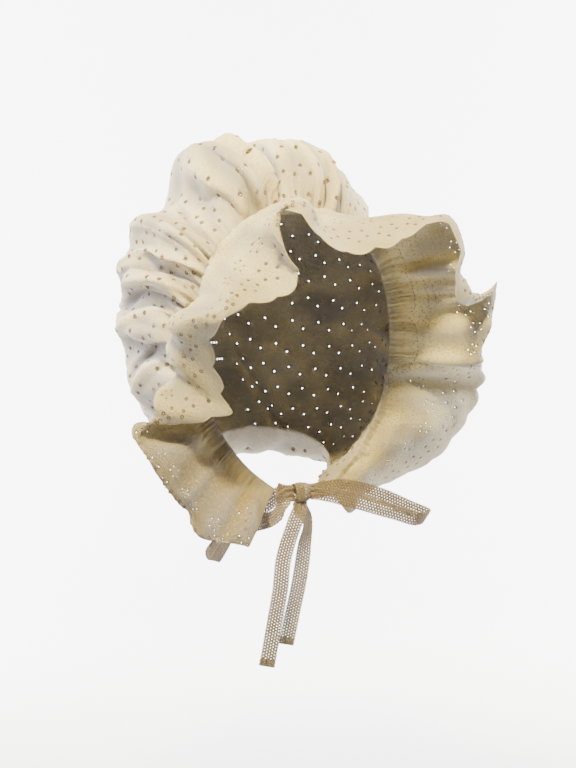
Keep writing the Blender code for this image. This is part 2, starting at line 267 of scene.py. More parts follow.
TAIL_FRONT = (
    (-5, -15.4, -242, 1.0, 0.0, 0.0),
    (-5, -15.8, -247, 1.0, 0.0, 0.0),
    (-10, -18, -257, 1.0, -0.1, 0.0),
    (-22, -20, -289, 1.0, -0.2, 0.0),
    (-26, -22, -314, 1.0, -0.2, 0.0),
    (-32, -25, -338, 1.0, -0.2, 0.0),
    (-41, -28, -376, 1.0, -0.2, 0.0),
)
TAIL_BACK = (
    (-2, -11, -242, 1.0, 0.0, 0.0),
    (-2, -10.8, -247, 1.0, 0.0, 0.0),
    (5, -9, -257, 0.8, 0.4, 0.1),
    (3, -8, -282, 1.0, 0.1, 0.0),
    (-2, -8, -312, 1.0, -0.1, 0.0),
    (-8, -8, -338, 1.0, -0.1, 0.0),
    (-14, -8, -364, 1.0, -0.1, -0.1),
)


# Shapes by table

def smooth(table, at):
    """The table's other columns at the places asked for, on a smooth curve through its rows."""
    rows = np.array(table, float)
    stations, values = rows[:, 0], rows[:, 1:]
    slopes = np.gradient(values, stations, axis=0)
    before = np.clip(np.searchsorted(stations, at, side="right") - 1, 0, len(stations) - 2)
    span = (stations[before + 1] - stations[before])[:, None]
    share = (at - stations[before])[:, None] / span
    rest = 1 - share
    return (
        (1 + 2 * share) * rest**2 * values[before]
        + share * rest**2 * span * slopes[before]
        + share**2 * (3 - 2 * share) * values[before + 1]
        - share**2 * rest * span * slopes[before + 1]
    )


def unit(vectors):
    return vectors / np.maximum(np.linalg.norm(vectors, axis=-1, keepdims=True), 1e-9)


def ease(low, high, x):
    share = np.clip((x - low) / (high - low), 0, 1)
    return share * share * (3 - 2 * share)


def both_sides(sections):
    """The sections of the wearer's left, then those of the right, as one table."""
    left = np.array(sections[:0:-1], float) * (-1, 1, 1, 1, 1, 1, 1, 1)
    right = np.array(sections, float) * (1, -1, 1, 1, -1, 1, 1, 1)
    return np.concatenate([left, right])


def between(table, first, second):
    """The values of a table of points at places that may lie between its rows and columns."""
    i = np.clip(first.astype(int), 0, table.shape[0] - 2)
    j = np.clip(second.astype(int), 0, table.shape[1] - 2)
    p = np.clip(first - i, 0, 1)[:, None]
    q = np.clip(second - j, 0, 1)[:, None]
    near = table[i, j] * (1 - q) + table[i, j + 1] * q
    far = table[i + 1, j] * (1 - q) + table[i + 1, j + 1] * q
    return near * (1 - p) + far * p


def table_normals(table):
    """Unit normals of a table of points, which point along across times down."""
    return unit(np.cross(np.gradient(table, axis=0), np.gradient(table, axis=1)))


def laid_on(points, normals, column, row, height):
    """Places on a form, given by its tables of points and normals, each so high out of it."""
    out = unit(between(normals, column, row))
    return between(points, column, row) + out * height[:, None]


def along_of(points):
    return np.concatenate([[0], np.linalg.norm(np.diff(points, axis=0), axis=-1).cumsum()])


# Rumples and gathers

# How rumples and gathers vary, and over which shares of its length a tuck rises and dies away
RUMPLE_PEAK = 1.5
CREST_SOFTNESS = 0.01
WANDER_WAVES = 7
WANDER_SIZES = (0.3, 1.0)
GATHER_DEPTH = 0.65
GATHER_WAVER = 1.7
GATHER_START = 0.6
TUCK_START = (-0.15, 0.25)
TUCK_END = (0.8, 1.15)


def waves(seed, count, shortest, longest):
    """Seeded waves that cross at every angle: two wave numbers and a start for each."""
    draw = np.random.default_rng(seed)
    way = draw.uniform(0, 2 * math.pi, count)
    length = np.exp(draw.uniform(math.log(shortest), math.log(longest), count))
    start = draw.uniform(0, 2 * math.pi, count)
    return 2 * math.pi * np.cos(way) / length, 2 * math.pi * np.sin(way) / length, start


def rumple(flat, made_of):
    """A soft uneven height over flat points, mostly between -1 and 1."""
    first, second, start = made_of
    total = sum(
        np.sin(flat[:, 0] * a + flat[:, 1] * b + c) for a, b, c in zip(first, second, start)
    )
    return total / math.sqrt(len(start) / 2) / RUMPLE_PEAK


def creases(flat, made_of):
    """Like rumple, with narrow crests and wide hollows."""
    return 1 - 2 * np.sqrt(rumple(flat, made_of) ** 2 + CREST_SOFTNESS)


def uneven(seed, number):
    """A periodic wander round the seam: wave counts, sizes and starts."""
    draw = np.random.default_rng(seed)
    counts = draw.integers(2, max(number // 3, 4), WANDER_WAVES)
    sizes = draw.uniform(*WANDER_SIZES, WANDER_WAVES)
    return counts, sizes, draw.uniform(0, 2 * math.pi, WANDER_WAVES)


def gathered(gathers, seed, share_round, share_out):
    """Height of the gathers: their number, spacing and depth wander along the seam."""
    height = np.zeros(len(share_round))
    angle = share_round * 2 * math.pi
    for step, gather in enumerate(gathers):
        counts, sizes, starts = uneven(seed + step, gather.number)
        wander = sum(s * np.sin(angle * n + t) for n, s, t in zip(counts, sizes, starts))
        depth = GATHER_DEPTH + (1 - GATHER_DEPTH) * np.sin(wander * GATHER_WAVER + GATHER_START)
        near = ease(gather.rise, gather.full, share_out)
        far = 1 - ease(gather.fade, gather.end, share_out)
        height += gather.height * depth * near * far * np.sin(angle * gather.number + wander)
    return height


def tucked(flat, tucks):
    """Height of tucks at flat points: each dies away beyond its ends and to both sides."""
    height = np.zeros(len(flat))
    for tuck in tucks:
        start = np.array((tuck.x, tuck.y), float)
        run = np.array((tuck.end_x, tuck.end_y)) - start
        length = np.hypot(*run)
        way = run / length
        share = (flat - start) @ way / length
        bowed = tuck.bow * 4 * share * (1 - share)
        aside = (flat - start) @ (way[1], -way[0]) - bowed
        spread = np.where(aside < 0, tuck.left, tuck.right)
        ends = ease(*TUCK_START, share) * (1 - ease(*TUCK_END, share))
        height += tuck.height * np.exp(-((aside / spread) ** 2)) * ends
    return height


# The crown's form

CROWN_TURNS = np.linspace(-180, 180, 721)
CROWN_SHARES = np.linspace(0, 1, 241)
CROWN_SEED = 21
CROWN_RUMPLE = waves(11, 22, 26, 75)
CROWN_CREASES = waves(12, 16, 45, 120)
CROWN_RUMPLE_HEIGHT = 0.7
CROWN_CREASE_HEIGHT = 1.0

# How much flatter the cotton lies at the chin corners, and between which shares it comes loose
CORNER_FLATNESS = 0.8
CORNER_REACH = 16
CROWN_LOOSE = (0.02, 0.25)

# Small creases: their number and seed, and the least and most of what is drawn for each
CREASES = 40
CREASE_SEED = 51
CREASE_WANDER = 0.4
CREASE_OUTER = (0.90, 0.99)
CREASE_INNER = (0.50, 0.80)
CREASE_SLANT = 9
CREASE_BOW = 5
CREASE_HEIGHT = (1.2, 2.8)
CREASE_SPREAD = (2.5, 6)
CREASE_FROM_MOUTH = (0.0, 0.08)

# Tones of the crown: the height over which its painted crease shade goes from hollow to ridge, how
# closely it is embroidered everywhere and in patches, the painted shade by the mouth beside the
# ruffle's seam, and the painted shade, darker and yellower, on the wearer's left, turned from the key
CROWN_RELIEF = 6
CROWN_WORKED = 0.06
CROWN_PATCHES = 0.20
MOUTH_SHADE = 0.20
MOUTH_SHADE_REACH = (0.0, 0.25)
CROWN_LEFT_SHADE = 0.24
LEFT_SHADE_ASIDE = (10, 120)
LEFT_SHADE_SHARES = (0.4, 0.8)


def crown_plain(turns, share):
    """The crown without folds: from the mouth out to the belly, then in to the pole at the back."""
    places = smooth(both_sides(SECTIONS), turns)
    mouth, belly, puff = places[:, None, :3], places[:, None, 3:6], places[:, None, 6:]
    pole = np.array(CROWN_POLE, float)
    near = np.clip(share / MOUTH_SHARE, 0, 1)[..., None]
    far = np.clip((share - MOUTH_SHARE) / (1 - MOUTH_SHARE), 0, 1)[..., None] * math.pi / 2
    depth = (belly - mouth) * (0, 1, 0)
    aside = belly - mouth - depth
    leave = mouth + (aside * puff + depth * (1 - puff)) * ROUNDNESS
    reach = belly - depth * ROUNDNESS
    rest = 1 - near
    front = (
        mouth * rest**3 + leave * 3 * near * rest**2
        + reach * 3 * near**2 * rest + belly * near**3
    )
    middle = pole * (1, 0, 1) + belly * (0, 1, 0)
    inward = np.maximum(np.cos(far), 0) ** CROWN_FULLNESS
    back = middle + (belly - middle) * inward + (pole - middle) * np.sin(far)
    return np.where((share <= MOUTH_SHARE)[..., None], front, back)


def crown_folds(turns, share):
    relief = np.zeros(share.shape)
    for fold in CROWN_FOLDS:
        middle = fold.turn + (fold.end_turn - fold.turn) * share
        aside = (turns[:, None] - middle + 180) % 360 - 180
        rise = ease(0, fold.start + FOLD_RISE, share)
        fall = 1 - ease(fold.end - FOLD_FALL, fold.end, share)
        relief += fold.height * np.exp(-((aside / fold.width) ** 2)) * rise * fall
    return relief


def crown_form():
    """The crown's length from mouth to pole at each turn, and the tables of its points and normals."""
    steps = np.broadcast_to(CROWN_SHARES, (len(CROWN_TURNS), len(CROWN_SHARES)))
    plain = crown_plain(CROWN_TURNS, steps)
    walked = np.linalg.norm(np.diff(plain, axis=1), axis=-1).cumsum(axis=1)
    walked = np.concatenate([np.zeros((len(plain), 1)), walked], axis=1)
    length = walked[:, -1]
    even = [np.interp(CROWN_SHARES * full, way, CROWN_SHARES) for full, way in zip(length, walked)]
    share = np.array(even)
    points = crown_plain(CROWN_TURNS, share)
    normals = -table_normals(points)
    normals[:, -1] = (0, 1, 0)
    points = points + normals * crown_folds(CROWN_TURNS, share)[..., None]
    normals = -table_normals(points)
    normals[:, -1] = (0, 1, 0)
    return length, points, normals


CROWN_LENGTH, CROWN_POINTS, CROWN_NORMALS = crown_form()


def crown_reach(turns):
    """How far the crown's round of cloth goes out from its middle."""
    return np.interp(turns, CROWN_TURNS, CROWN_LENGTH)


def crown_polar(flat):
    """The turn of a flat point of the crown's round, and its share of the way from mouth to pole."""
    turn = np.degrees(np.arctan2(flat[:, 0], flat[:, 1]))
    return turn, 1 - np.hypot(flat[:, 0], flat[:, 1]) / crown_reach(turn)


def small_creases():
    """Seeded creases all round the crown, which run in from near its mouth."""
    draw = np.random.default_rng(CREASE_SEED)
    made = []
    for step in range(CREASES):
        turn = 360 * (step + draw.uniform(-CREASE_WANDER, CREASE_WANDER)) / CREASES - 180
        reach = crown_reach(turn)
        outer, inner = reach * draw.uniform(*CREASE_OUTER), reach * draw.uniform(*CREASE_INNER)
        start = math.radians(turn + draw.uniform(-CREASE_SLANT, CREASE_SLANT))
        end = math.radians(turn)
        height = draw.uniform(*CREASE_HEIGHT) * draw.choice((-1, 1))
        left, right = draw.uniform(*CREASE_SPREAD, 2)
        made.append(Tuck(
            inner * math.sin(start), inner * math.cos(start),
            outer * math.sin(end), outer * math.cos(end),
            draw.uniform(-CREASE_BOW, CREASE_BOW), height, left, right,
        ))
    return made


SMALL_CREASES = small_creases()


def crown_heights(flat):
    """The turn and share of flat points of the crown, and how far they stand out of its form."""
    turn, share = crown_polar(flat)
    from_corner = (np.abs(turn) - RUFFLE_END_TURN) / CORNER_REACH
    loose = ease(*CROWN_LOOSE, share)
    height = gathered(CROWN_GATHERS, CROWN_SEED, turn / 360, share)
    height += tucked(flat, CROWN_TUCKS)
    height += tucked(flat, SMALL_CREASES) * ease(*CREASE_FROM_MOUTH, share)
    height *= 1 - CORNER_FLATNESS * np.exp(-(from_corner**2))
    height += rumple(flat, CROWN_RUMPLE) * CROWN_RUMPLE_HEIGHT * loose
    height += creases(flat, CROWN_CREASES) * CROWN_CREASE_HEIGHT * loose
    return turn, share, height


def crown_tones(flat):
    """How raised the crown's flat points are, for painted crease shade, and how dark: tint and painted
    shade.
    """
    _, share, height = crown_heights(flat)
    # painted crease shade: the lower the cloth lies in its gathers and tucks, the darker it is painted
    raised = np.clip(0.5 + height / CROWN_RELIEF, 0, 1)
    worked_and_shade = CROWN_WORKED + CROWN_PATCHES * rumple(flat, CROWN_CREASES)
    # painted shade by the mouth, beside the ruffle's seam
    worked_and_shade += MOUTH_SHADE * (1 - ease(*MOUTH_SHADE_REACH, share))
    # painted shade, darker and yellower, on the wearer's left, the side turned from the key
    left_shade = CROWN_LEFT_SHADE * ease(*LEFT_SHADE_ASIDE, -flat[:, 0]) * (1 - ease(*LEFT_SHADE_SHARES, share))
    return raised, np.clip(worked_and_shade + left_shade, 0, 1)


def lay_crown(flat):
    """Flat points of the crown's round of cloth, brought to their place on the gathered crown."""
    turn, share, height = crown_heights(flat)
    column = (turn + 180) / 360 * (len(CROWN_TURNS) - 1)
    row = share * (len(CROWN_SHARES) - 1)
    return laid_on(CROWN_POINTS, CROWN_NORMALS, column, row, height)


# The ruffle's form

RUFFLE_TURNS = np.linspace(-RUFFLE_END_TURN, RUFFLE_END_TURN, 1501)
RUFFLE_SHARES = np.linspace(0, 1, 61)
RUFFLE_SEED = 41
RUFFLE_RUMPLE = waves(31, 20, 18, 60)
RUFFLE_RUMPLE_HEIGHT = 0.55
RUFFLE_LOOSE = (0.05, 0.5)
END_LOOSE = 0.2
END_REACH = 14
ROLL_HEIGHT = 5
ROLL_RISE = (0, 0.07)
ROLL_FALL = (0.07, 0.32)

# Tones of the ruffle: the painted crease shade of level cloth, the height over which it goes from
# hollow to ridge, how dark it is by the seam, from its vines and painted shade, and round its
# flowers, from their embroidery, how much of its tint stays at the seam, painted light that lifts
# the cast shadow under the flute above, and how uneven it is
RUFFLE_PLAIN = 0.62
RUFFLE_RELIEF = 9
SEAM_WORK_AND_SHADE = 0.12
SEAM_REACH = (0.05, 0.40)
FLOWER_WORKED = 0.10
FLOWER_REACH = (9, 14)
SEAM_PAINTED_LIGHT = 0.55
SEAM_PAINTED_LIGHT_REACH = (0.05, 0.30)
RUFFLE_PATCHES = 0.16

# How far the ruffle's cotton takes the dark tone at places along its edge: a yellow tint over the
# top, and painted shade at both lower ends, most on the wearer's right, where the lower flute hangs
# in the shadow of the flute above
RUFFLE_TINTS_AND_SHADE = (
    (0, 0.55),
    (140, 0.45),
    (210, 0.02),
    (390, 0.02),
    (470, 0.10),
    (580, 0.28),
    (680, 0.12),
    (800, 0.03),
    (900, 0.05),
    (960, 0.20),
    (1020, 0.95),
    (1200, 1.20),
)
BOW_STEPS = 25
BOW_TRIES = 16


def seam_frame(turns):
    """The seam's points, and the ways that lie along it and outward from the face at each."""
    sections = both_sides(SECTIONS)
    seam = smooth(sections, turns)[:, :3]
    limit = RUFFLE_END_TURN
    ahead = smooth(sections, np.minimum(turns + 1, limit))[:, :3]
    behind = smooth(sections, np.maximum(turns - 1, -limit))[:, :3]
    along = unit((ahead - behind) * (1, 0, 1))
    outward = np.stack([along[:, 2], np.zeros(len(turns)), -along[:, 0]], axis=-1)
    return seam, along, outward


def curve_between(start, bend, end, share):
    start, bend, end = start[:, None], bend[:, None], end[:, None]
    return start * (1 - share) ** 2 + bend * 2 * share * (1 - share) + end * share**2


def bow_of_cloth(start, leave, end, width):
    """How far the cloth runs on as it leaves the seam, so that its curve has the cloth's width."""
    low, high = np.zeros(len(start)), np.full(len(start), width.max())
    steps = np.linspace(0, 1, BOW_STEPS)[None, :, None]
    for _ in range(BOW_TRIES):
        middle = (low + high) / 2
        curve = curve_between(start, start + leave * middle[:, None], end, steps)
        length = np.linalg.norm(np.diff(curve, axis=1), axis=-1).sum(axis=1)
        low = np.where(length < width, middle, low)
        high = np.where(length < width, high, middle)
    return (low + high) / 2


def ruffle_form():
    """The length along the ruffle's edge, its width there, and its tables of points and normals."""
    seam, along, outward = seam_frame(RUFFLE_TURNS)
    forward = np.array([[0, -1, 0]])
    offsets = smooth(RUFFLE_FOLDS, RUFFLE_TURNS)
    end = seam + outward * offsets[:, :1] + forward * offsets[:, 1:2] + along * offsets[:, 2:3]
    angle = np.radians(offsets[:, 3:])
    leave = outward * np.cos(angle) + forward * np.sin(angle)
    from_end = RUFFLE_END_TURN - np.abs(RUFFLE_TURNS)
    width = RUFFLE_END_WIDTH + (RUFFLE_WIDTH - RUFFLE_END_WIDTH) * ease(0, TAPER_TURN, from_end)
    bow = bow_of_cloth(seam, leave, end, width)
    table = curve_between(seam, seam + leave * bow[:, None], end, RUFFLE_SHARES[None, :, None])
    return along_of(end), width, table, table_normals(table)


RUFFLE_WALKED, RUFFLE_DEEP, RUFFLE_POINTS, RUFFLE_NORMALS = ruffle_form()
RUFFLE_LENGTH = RUFFLE_WALKED[-1]
SCALLOP_STEP = RUFFLE_LENGTH / SCALLOPS


def ruffle_width(along):
    """How wide the ruffle is before its scallops are cut."""
    return np.interp(along, RUFFLE_WALKED, RUFFLE_DEEP)


def ruffle_heights(flat):
    """The column and share of flat points of the ruffle, and how far they stand out of its form."""
    column = np.interp(flat[:, 0], RUFFLE_WALKED, np.arange(len(RUFFLE_TURNS)))
    share = flat[:, 1] / ruffle_width(flat[:, 0])
    turn = np.interp(column, np.arange(len(RUFFLE_TURNS)), RUFFLE_TURNS)
    corner = ease(0, END_REACH, RUFFLE_END_TURN - np.abs(turn)) * (1 - END_LOOSE) + END_LOOSE
    height = gathered(RUFFLE_GATHERS, RUFFLE_SEED, flat[:, 0] / RUFFLE_LENGTH, share) * corner
    height += rumple(flat, RUFFLE_RUMPLE) * RUFFLE_RUMPLE_HEIGHT * ease(*RUFFLE_LOOSE, share)
    roll = ease(*ROLL_RISE, share) * (1 - ease(*ROLL_FALL, share)) * corner * ROLL_HEIGHT
    return column, share, height + roll


def ruffle_tones(flat):
    """How raised the ruffle's flat points are, for painted crease shade, and how dark: embroidery,
    tint, painted shade and light.
    """
    _, share, height = ruffle_heights(flat)
    # painted crease shade: the lower the cloth lies in its gathers, the darker it is painted
    raised = np.clip(RUFFLE_PLAIN + height / RUFFLE_RELIEF, 0, 1)
    aside = np.abs((flat[:, 0] / SCALLOP_STEP) % 1 - 0.5) * SCALLOP_STEP
    from_flower = np.hypot(aside, edge_of_ruffle(flat[:, 0]) - FLOWER_FROM_EDGE - flat[:, 1])
    # by the seam, darker from the vines' stitching and from painted shade
    worked_and_shade = SEAM_WORK_AND_SHADE * (1 - ease(*SEAM_REACH, share))
    worked_and_shade += FLOWER_WORKED * (1 - ease(*FLOWER_REACH, from_flower))
    # painted light: less of the tint by the seam, lifting the cast shadow under the flute above
    fade = SEAM_PAINTED_LIGHT + (1 - SEAM_PAINTED_LIGHT) * ease(*SEAM_PAINTED_LIGHT_REACH, share)
    worked_and_shade += smooth(RUFFLE_TINTS_AND_SHADE, flat[:, 0])[:, 0] * fade
    return raised, np.clip(worked_and_shade + RUFFLE_PATCHES * rumple(flat, RUFFLE_RUMPLE), 0, 1)


def lay_ruffle(flat):
    """Flat points of the ruffle, x along its edge and y out from its seam, in their place."""
    column, share, height = ruffle_heights(flat)
    row = share * (len(RUFFLE_SHARES) - 1)
    return laid_on(RUFFLE_POINTS, RUFFLE_NORMALS, column, row, height)


def edge_of_ruffle(along):
    """How far from the seam the scalloped edge lies."""
    scallop = np.abs(np.sin(math.pi * SCALLOPS * along / RUFFLE_LENGTH))
    return ruffle_width(along) - SCALLOP_DEPTH * (1 - scallop)


# Flat cloth

# How far the cloth's inner points keep from its edge and from its holes, in shares of its pitch
EDGE_CLEARANCE = 0.5
HOLE_CLEARANCE = 0.45
SAME_POINT = 1e-4


def around(angles):
    """Points of a round of radius 1 at those angles."""
    return np.stack([np.cos(angles), np.sin(angles)], axis=-1)


def closed_loop(first, count):
    """The edges of a closed loop of points, numbered from first on."""
    return [(first + i, first + (i + 1) % count) for i in range(count)]


def holes_at(spots, radius):
    return np.column_stack([spots, np.full(len(spots), radius)])


def strip_outline(along, near, far, side):
    """Outline of a strip: along its near edge, up its end, back along its far edge and down."""
    return np.concatenate([
        np.column_stack([along, near]),
        np.column_stack([np.full(len(side), along[-1]), side]),
        np.column_stack([along, far])[::-1],
        np.column_stack([np.zeros(len(side)), side])[::-1],
    ])


def flat_cloth(outline, holes, depth, pitch, sides=EYELET_SIDES):
    """Triangles of a flat cloth inside its outline, with round holes (x, y, radius) cut in it."""
    low, high = outline.min(axis=0), outline.max(axis=0)
    rows = []
    for number, y in enumerate(np.arange(low[1], high[1], pitch * math.sqrt(3) / 2)):
        x = np.arange(low[0] + pitch / 2 * (number % 2), high[0], pitch)
        rows.append(np.column_stack([x, np.full(len(x), y)]))
    field = np.concatenate(rows)
    field = field[depth(field) > pitch * EDGE_CLEARANCE]
    for x, y, radius in holes:
        away = np.hypot(field[:, 0] - x, field[:, 1] - y)
        field = field[away >= radius + pitch * HOLE_CLEARANCE]
    ring = around(np.arange(sides) * 2 * math.pi / sides)
    rings = (holes[:, None, :2] + ring * holes[:, None, 2:]).reshape(-1, 2)
    points = np.concatenate([outline, rings, field])
    border = closed_loop(0, len(outline))
    for hole in range(len(holes)):
        border += closed_loop(len(outline) + hole * sides, sides)
    made = delaunay_2d_cdt([Vector(p) for p in points], border, [], 1, SAME_POINT)
    flat = np.array([tuple(v) for v in made[0]])
    faces = np.array(made[2])
    source = np.array([found[0] if found else -1 for found in made[3]])
    hole_of = np.full(len(flat), -1)
    in_ring = (source >= len(outline)) & (source < len(outline) + len(rings))
    hole_of[in_ring] = (source[in_ring] - len(outline)) // sides
    at = hole_of[faces]
    inside = (at[:, 0] >= 0) & (at[:, 0] == at[:, 1]) & (at[:, 1] == at[:, 2])
    return flat, faces[~inside]


def put_in(name, data):
    """A new object with that data, in the scene."""
    thing = bpy.data.objects.new(name, data)
    bpy.context.scene.collection.objects.link(thing)
    return thing


def cloth(name, flat, faces, lay, finish, thickness, tones=None):
    """Flat triangles laid in their place, with a wall, their flat places as UV and their tones."""
    mesh = bpy.data.meshes.new(name)
    mesh.from_pydata((lay(flat) * MM).tolist(), [], faces.tolist())
    mesh.update()
    layer = mesh.uv_layers.new(name="cloth")
    order = np.zeros(len(mesh.loops), int)
    mesh.loops.foreach_get("vertex_index", order)
    layer.data.foreach_set("uv", (flat[order] / UV_MM).ravel())
    if tones:
        for label, values in zip(("raised", "worked_and_shade"), tones(flat)):
            attribute = mesh.attributes.new(label, "FLOAT", "POINT")
            attribute.data.foreach_set("value", values.astype(np.float32))
    mesh.shade_smooth()
    mesh.materials.append(finish)
    thing = put_in(name, mesh)
    wall = thing.modifiers.new("Wall", "SOLIDIFY")
    wall.thickness = thickness * MM
    wall.offset = 0
    return thing


# Finishes

IVORY = (0.80, 0.73, 0.57, 1)
IVORY_SHADE = (0.77, 0.68, 0.45, 1)
CREAM = (0.81, 0.73, 0.46, 1)
CREAM_SHADE = (0.78, 0.67, 0.35, 1)
# Lace thread, dark brown: its own tan darkened as painted shade, for the shade the ties hang in and
# the dark seen through their holes
LACE_AND_SHADE = (0.33, 0.255, 0.165, 1)
LACE_AND_SHADE_DARK = (0.25, 0.185, 0.105, 1)
# Painted crease shade for the hollows, then a dark yellow-brown for embroidery and tint that also
# paints shade
CREASE_SHADE = (0.36, 0.33, 0.30, 1)
WORKED_AND_SHADE = (0.34, 0.26, 0.115, 1)
THIN = (0.72, 0.70, 0.66, 1)
WHITE = (1, 1, 1, 1)
PAPER = (0.58, 0.58, 0.58, 1)

# The noise of each finish in cycles for a metre, reliefs and cells in millimetres, and two shares
CLOTH_PATCHES = 14
THREAD_PATCHES = 60
STRANDS = 2600
WEAVE_DEPTH = 0.25
STITCHED_DEPTH = 0.8
STRAND_DEPTH = 0.2
STITCHED_CELL = 2.6
SLUB_SIZE = 2.2
SLUB_SHARE = 0.8
PLAIN_RELIEF = 0.35


def add(tree, kind, inputs=(), **settings):
    """A node of the tree with its settings, and a value or another node's output for each input."""
    made = tree.nodes.new(kind)
    for label, value in settings.items():
        setattr(made, label, value)
    for label, value in dict(inputs).items():
        if isinstance(value, bpy.types.NodeSocket):
            tree.links.new(value, made.inputs[label])
        else:
            made.inputs[label].default_value = value
    return made


def new_material(name):
    made = bpy.data.materials.new(name)
    made.use_nodes = True
    made.node_tree.nodes.clear()
    return made, made.node_tree


def ramp(tree, share, dark, light, low=0.35, high=0.65):
    """The dark colour where the share is low and the light one where it is high."""
    made = add(tree, "ShaderNodeValToRGB", {"Fac": share})
    first, last = made.color_ramp.elements
    first.position, first.color = low, dark
    last.position, last.color = high, light
    return made.outputs["Color"]


def mixed_by(tree, label, first, second):
    """The first colour where the cloth's attribute is 0 and the second where it is 1."""
    share = add(tree, "ShaderNodeAttribute", attribute_name=label).outputs["Fac"]
    mix = add(tree, "ShaderNodeMixRGB", {"Fac": share, "Color1": first, "Color2": second})
    return mix.outputs["Color"]


def bumped(tree, height, strength, depth):
    values = {"Height": height, "Strength": strength, "Distance": depth * MM}
    return add(tree, "ShaderNodeBump", values)


def stitched(tree, flat, normal):
    """Small cells of needlework over the weave, deepest where the cloth's dark tone is strongest,
    painted shade included.
    """
    values = {"Vector": flat, "Scale": UV_MM / STITCHED_CELL, "Smoothness": 0.4}
    cells = add(tree, "ShaderNodeTexVoronoi", values, feature="SMOOTH_F1")
    share = add(tree, "ShaderNodeAttribute", attribute_name="worked_and_shade").outputs["Fac"]
    plus = add(tree, "ShaderNodeMath", {0: share, 1: PLAIN_RELIEF}, operation="ADD")
    values = {0: cells.outputs["Distance"], 1: plus.outputs["Value"]}
    relief = add(tree, "ShaderNodeMath", values, operation="MULTIPLY")
    raised = bumped(tree, relief.outputs["Value"], 0.8, STITCHED_DEPTH)
    raised.invert = True
    tree.links.new(normal, raised.inputs["Normal"])
    return raised.outputs["Normal"]


def cotton(name, light, dark, thread_pitch, see_through, weave_relief, with_tones=True):
    """Thin woven cotton: uneven ivory, a weave of crossing threads, light let through, and painted
    shade in its tones.
    """
    made, tree = new_material(name)
    place = add(tree, "ShaderNodeTexCoord").outputs["Object"]
    flat = add(tree, "ShaderNodeUVMap", uv_map="cloth").outputs["UV"]
    values = {"Vector": place, "Scale": CLOTH_PATCHES, "Detail": 4}
    patches = add(tree, "ShaderNodeTexNoise", values).outputs["Fac"]
    values = {"Vector": flat, "Scale": UV_MM / SLUB_SIZE, "Detail": 3}
    slubs = add(tree, "ShaderNodeTexNoise", values).outputs["Fac"]
    values = {
        "Fac": SLUB_SHARE,
        "Color1": ramp(tree, patches, dark, light),
        "Color2": ramp(tree, slubs, THIN, WHITE, 0.3, 0.6),
    }
    colour = add(tree, "ShaderNodeMixRGB", values, blend_type="MULTIPLY").outputs["Color"]
    values = {
        "Vector": flat,
        "Scale": UV_MM / thread_pitch / (2 * math.pi),
        "Distortion": 1.2,
        "Detail": 2,
        "Detail Scale": 3,
    }
    weave = [
        add(tree, "ShaderNodeTexWave", values, bands_direction=axis).outputs["Fac"]
        for axis in ("X", "Y")
    ]
    cross = add(tree, "ShaderNodeMath", {0: weave[0], 1: weave[1]}, operation="ADD")
    normal = bumped(tree, cross.outputs["Value"], weave_relief, WEAVE_DEPTH).outputs["Normal"]
    if with_tones:
        # darker where the cloth is embroidered, tinted or given painted shade, then painted crease
        # shade
        colour = mixed_by(tree, "worked_and_shade", colour, WORKED_AND_SHADE)
        colour = mixed_by(tree, "raised", CREASE_SHADE, colour)
        normal = stitched(tree, flat, normal)
    shader = add(tree, "ShaderNodeBsdfPrincipled", {
        "Base Color": colour,
        "Normal": normal,
        "Roughness": 0.88,
        "Specular IOR Level": 0.25,
        "Sheen Weight": 0.2,
        "Sheen Roughness": 0.45,
    })
    through = add(tree, "ShaderNodeBsdfTranslucent", {"Color": colour, "Normal": normal})
    values = {"Fac": see_through, 1: shader.outputs["BSDF"], 2: through.outputs["BSDF"]}
    mix = add(tree, "ShaderNodeMixShader", values)
    add(tree, "ShaderNodeOutputMaterial", {"Surface": mix.outputs["Shader"]})
    return made


def thread(name, light, dark):
    """Embroidery cotton: smoother than the cloth, with fine strands."""
    made, tree = new_material(name)
    place = add(tree, "ShaderNodeTexCoord").outputs["Object"]
    patches = add(tree, "ShaderNodeTexNoise", {"Vector": place, "Scale": THREAD_PATCHES})
    strands = add(tree, "ShaderNodeTexNoise", {"Vector": place, "Scale": STRANDS, "Detail": 1})
    shader = add(tree, "ShaderNodeBsdfPrincipled", {
        "Base Color": ramp(tree, patches.outputs["Fac"], dark, light),
        "Normal": bumped(tree, strands.outputs["Fac"], 0.5, STRAND_DEPTH).outputs["Normal"],
        "Roughness": 0.62,
        "Sheen Weight": 0.2,
    })
    add(tree, "ShaderNodeOutputMaterial", {"Surface": shader.outputs["BSDF"]})
    return made


# Repeated stitches

Stitch = namedtuple("Stitch", "tree inputs values")
RIM_REACH = 1.02


